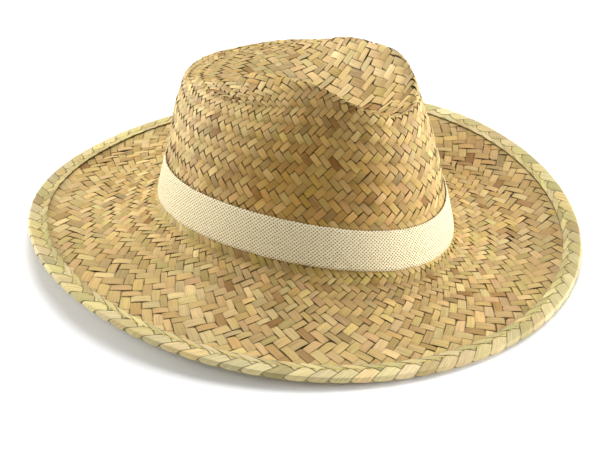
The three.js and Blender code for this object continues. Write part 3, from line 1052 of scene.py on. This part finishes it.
def stitch_tree():
    """Node tree that sets one short arched thread on every point."""
    tree, given, result = geometry_tree("stitches", {
        "Points": "NodeSocketGeometry",
        "Length": "NodeSocketFloat",
        "Radius": "NodeSocketFloat",
        "Material": "NodeSocketMaterial",
    }, "Stitches")
    arch = add_node(tree, "GeometryNodeCurveQuadraticBezier", {
        "Resolution": ARCH_POINTS,
        "Start": (-0.5, 0, 0),
        "Middle": (0, 0, 4 * STITCH_ARCH / STITCH_LENGTH),
        "End": (0.5, 0, 0),
    })
    long = add_node(tree, "GeometryNodeTransform")
    scale = add_node(tree, "ShaderNodeCombineXYZ")
    section = add_node(tree, "GeometryNodeCurvePrimitiveCircle", {"Resolution": THREAD_SIDES})
    swept = add_node(tree, "GeometryNodeCurveToMesh", {"Fill Caps": True})
    ahead, lie = (
        add_node(tree, "GeometryNodeInputNamedAttribute", {"Name": label}, data_type="FLOAT_VECTOR")
        for label in ("ahead", "lie")
    )
    forward = add_node(tree, "FunctionNodeAlignRotationToVector", axis="X")
    upward = add_node(tree, "FunctionNodeAlignRotationToVector", axis="Z", pivot_axis="X")
    placed = add_node(tree, "GeometryNodeInstanceOnPoints")
    real = add_node(tree, "GeometryNodeRealizeInstances")
    smooth = add_node(tree, "GeometryNodeSetShadeSmooth")
    finish = add_node(tree, "GeometryNodeSetMaterial")
    chain_nodes(tree, arch, long, swept)
    chain_nodes(tree, given, placed, real, smooth, finish, result)
    link_nodes(
        tree,
        *((given.outputs["Length"], scale.inputs[axis]) for axis in "XYZ"),
        (scale.outputs[0], long.inputs["Scale"]),
        (given.outputs["Radius"], section.inputs["Radius"]),
        (section.outputs[0], swept.inputs["Profile Curve"]),
        (ahead.outputs["Attribute"], forward.inputs["Vector"]),
        (forward.outputs[0], upward.inputs["Rotation"]),
        (lie.outputs["Attribute"], upward.inputs["Vector"]),
        (swept.outputs[0], placed.inputs["Instance"]),
        (upward.outputs[0], placed.inputs["Rotation"]),
        (given.outputs["Material"], finish.inputs["Material"]),
    )
    return tree


thread, _, thread_shader = new_material("thread")
thread_shader.inputs["Base Color"].default_value = THREAD_COLOUR
thread_shader.inputs["Roughness"].default_value = THREAD_ROUGHNESS
stitch_inputs = {"Length": STITCH_LENGTH, "Radius": STITCH_RADIUS, "Material": thread}
edge_stitches = made_by_nodes("edge_stitches", stitch_points(), stitch_tree(), stitch_inputs)
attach(edge_stitches, "root")
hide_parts("edge_binding")

# Floor, camera and lights: a round pale floor in a white surround under soft light from both
# sides, seen from the wearer's right front, a little above.
FLOOR_REACH = 0.9
FLOOR_SIDES = 96
FLOOR_COLOUR = (0.98, 0.98, 0.98, 1)
FLOOR_ROUGHNESS = 0.9
floor_mesh = bpy.data.meshes.new("floor")
floor_turns = np.arange(FLOOR_SIDES) * 2 * np.pi / FLOOR_SIDES
floor_corners = oval(FLOOR_REACH, FLOOR_REACH, floor_turns, 0.0)
floor_mesh.from_pydata(floor_corners, [], [tuple(range(FLOOR_SIDES))])
floor = new_object("floor", floor_mesh)
floor_paint, _, floor_shader = new_material("floor_paint")
floor_shader.inputs["Base Color"].default_value = FLOOR_COLOUR
floor_shader.inputs["Roughness"].default_value = FLOOR_ROUGHNESS
floor_mesh.materials.append(floor_paint)

CAMERA_AZIMUTH = -44.1 * DEGREE
CAMERA_ELEVATION = 30.5 * DEGREE
CAMERA_ROLL = 0.7 * DEGREE
CAMERA_DISTANCE = 0.996
CAMERA_AIM = np.array((0, 0, 0.040))
CAMERA_SLIDE = (0.0002, -0.0365)
CAMERA_LENS = 92.7
SENSOR_WIDTH = 36


def standing(axes, place):
    """Matrix of an object at a place, with its own x, y and z along three directions."""
    matrix = np.eye(4)
    matrix[:3, :3] = np.column_stack(axes)
    matrix[:3, 3] = place
    return Matrix(matrix.tolist())


back = np.array((
    math.sin(CAMERA_AZIMUTH) * math.cos(CAMERA_ELEVATION),
    -math.cos(CAMERA_AZIMUTH) * math.cos(CAMERA_ELEVATION),
    math.sin(CAMERA_ELEVATION),
))
level = np.array((math.cos(CAMERA_AZIMUTH), math.sin(CAMERA_AZIMUTH), 0))
upright = np.cross(back, level)
right = math.cos(CAMERA_ROLL) * level + math.sin(CAMERA_ROLL) * upright
up = -math.sin(CAMERA_ROLL) * level + math.cos(CAMERA_ROLL) * upright
station = CAMERA_AIM + back * CAMERA_DISTANCE + right * CAMERA_SLIDE[0] + up * CAMERA_SLIDE[1]
lens = bpy.data.cameras.new("camera")
lens.lens = CAMERA_LENS
lens.sensor_width = SENSOR_WIDTH
lens.sensor_fit = "HORIZONTAL"
camera = new_object("camera", lens)
camera.matrix_world = standing((right, up, back), station)
bpy.context.scene.camera = camera

LIGHT_DISTANCE = 1.7
LIGHT_AIM = np.array((0, 0, 0.05))

# Square lights that point at the hat: degrees round to the camera's right, degrees up, size
# and power
SOFT_LIGHTS = {
    "light_behind": (176, 64, 1.2, 28),
    "light_right": (88, 8, 0.9, 49),
    "light_left_low": (-116, 9, 0.9, 28),
    "light_left": (-75, 28, 0.9, 11),
    "light_front": (8, 30, 0.9, 4),
}
for name, (turn, rise, size, power) in SOFT_LIGHTS.items():
    lamp = bpy.data.lights.new(name, "AREA")
    lamp.size = size
    lamp.energy = power
    reach = LIGHT_DISTANCE * math.cos(rise * DEGREE)
    angle = CAMERA_AZIMUTH + turn * DEGREE
    place = oval(reach, reach, angle, LIGHT_DISTANCE * math.sin(rise * DEGREE))
    away = unit(place - LIGHT_AIM)
    aside = unit(np.cross((0, 0, 1), away))
    new_object(name, lamp).matrix_world = standing((aside, np.cross(away, aside), away), place)

# The surround looks white to the camera and adds only a little light of its own
SURROUND_LIGHT = 0.08
world = bpy.data.worlds.new("studio")
world.use_nodes = True
backdrop = world.node_tree.nodes["Background"]
backdrop.inputs["Color"].default_value = (1, 1, 1, 1)
seen_directly = add_node(world.node_tree, "ShaderNodeLightPath")
seen_and_shed = {1: 1 - SURROUND_LIGHT, 2: SURROUND_LIGHT}
surround = add_node(world.node_tree, "ShaderNodeMath", seen_and_shed, operation="MULTIPLY_ADD")
link_nodes(
    world.node_tree,
    (seen_directly.outputs["Is Camera Ray"], surround.inputs[0]),
    (surround.outputs[0], backdrop.inputs["Strength"]),
)
bpy.context.scene.world = world
bpy.context.scene.view_settings.view_transform = "Standard"
